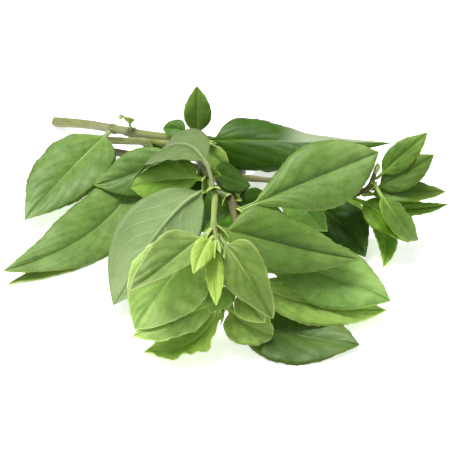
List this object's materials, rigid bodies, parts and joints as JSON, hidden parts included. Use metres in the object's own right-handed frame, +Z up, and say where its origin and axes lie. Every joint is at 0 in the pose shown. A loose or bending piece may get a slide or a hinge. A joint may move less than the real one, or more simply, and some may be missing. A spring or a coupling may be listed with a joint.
{
  "type": "basil bunch",
  "caption": "Loose bunch of cut basil sprigs lying on a surface: bent stems carrying opposite, pointed, finely toothed leaves and small bright shoot tips.",
  "frame": {"origin": "middle of the bunch's bounding box in plan, on the surface it lies on", "axes": "+Z up; the cut stem ends lie at the back left (-X +Y), the leafy tips fan out to the front (-Y), the right (+X) and the left"},
  "size_m": [0.171, 0.1666, 0.0531],
  "materials": {
    "leaf_bud": "soft satin, the youngest yellow-green growth",
    "leaf_young": "satin, bright young leaf",
    "leaf_mature": "satin, full-grown leaf with a paler underside",
    "leaf_old": "satin, dark old leaf",
    "stem_green": "matt, juicy light green stem",
    "stem_purple": "matt, juicy stem tinged purple-brown"
  },
  "bodies": {
    "root": {"stem_front": "stem_green", "bud_front": "leaf_bud", "leaf_front_1": "leaf_mature", "leaf_front_2": "leaf_old", "leaf_front_3": "leaf_mature", "leaf_front_4": "leaf_old", "leaf_front_5": "leaf_old", "leaf_front_6": "leaf_mature", "leaf_front_7": "leaf_mature", "leaf_front_8": "leaf_old", "leaf_front_9": "leaf_mature", "leaf_front_10": "leaf_young", "leaf_front_11": "leaf_mature", "leaf_front_12": "leaf_young", "leaf_front_13": "leaf_young", "leaf_front_14": "leaf_bud", "leaf_front_15": "leaf_bud", "stem_right": "stem_purple", "bud_right": "leaf_bud", "leaf_right_1": "leaf_mature", "leaf_right_2": "leaf_old", "leaf_right_3": "leaf_mature", "leaf_right_4": "leaf_old", "leaf_right_5": "leaf_mature", "leaf_right_6": "leaf_old", "leaf_right_7": "leaf_young", "leaf_right_8": "leaf_mature", "leaf_right_9": "leaf_young", "leaf_right_10": "leaf_mature", "leaf_right_11": "leaf_young", "leaf_right_12": "leaf_young", "leaf_right_13": "leaf_young", "leaf_right_14": "leaf_mature", "stem_back": "stem_purple", "bud_back": "leaf_bud", "leaf_back_1": "leaf_mature", "leaf_back_2": "leaf_mature", "leaf_back_3": "leaf_young", "leaf_back_4": "leaf_old", "leaf_back_5": "leaf_mature", "leaf_back_6": "leaf_young", "leaf_back_7": "leaf_old", "leaf_back_8": "leaf_old", "leaf_back_9": "leaf_young", "stem_far": "stem_purple", "bud_far": "leaf_bud", "leaf_far_1": "leaf_young", "leaf_far_2": "leaf_old", "leaf_far_3": "leaf_mature", "leaf_far_4": "leaf_old", "leaf_far_5": "leaf_old", "leaf_far_6": "leaf_mature", "leaf_far_7": "leaf_mature", "leaf_far_8": "leaf_mature", "leaf_far_9": "leaf_mature", "leaf_far_10": "leaf_mature", "leaf_far_11": "leaf_mature", "leaf_far_12": "leaf_mature"}
  },
  "joints": []
}
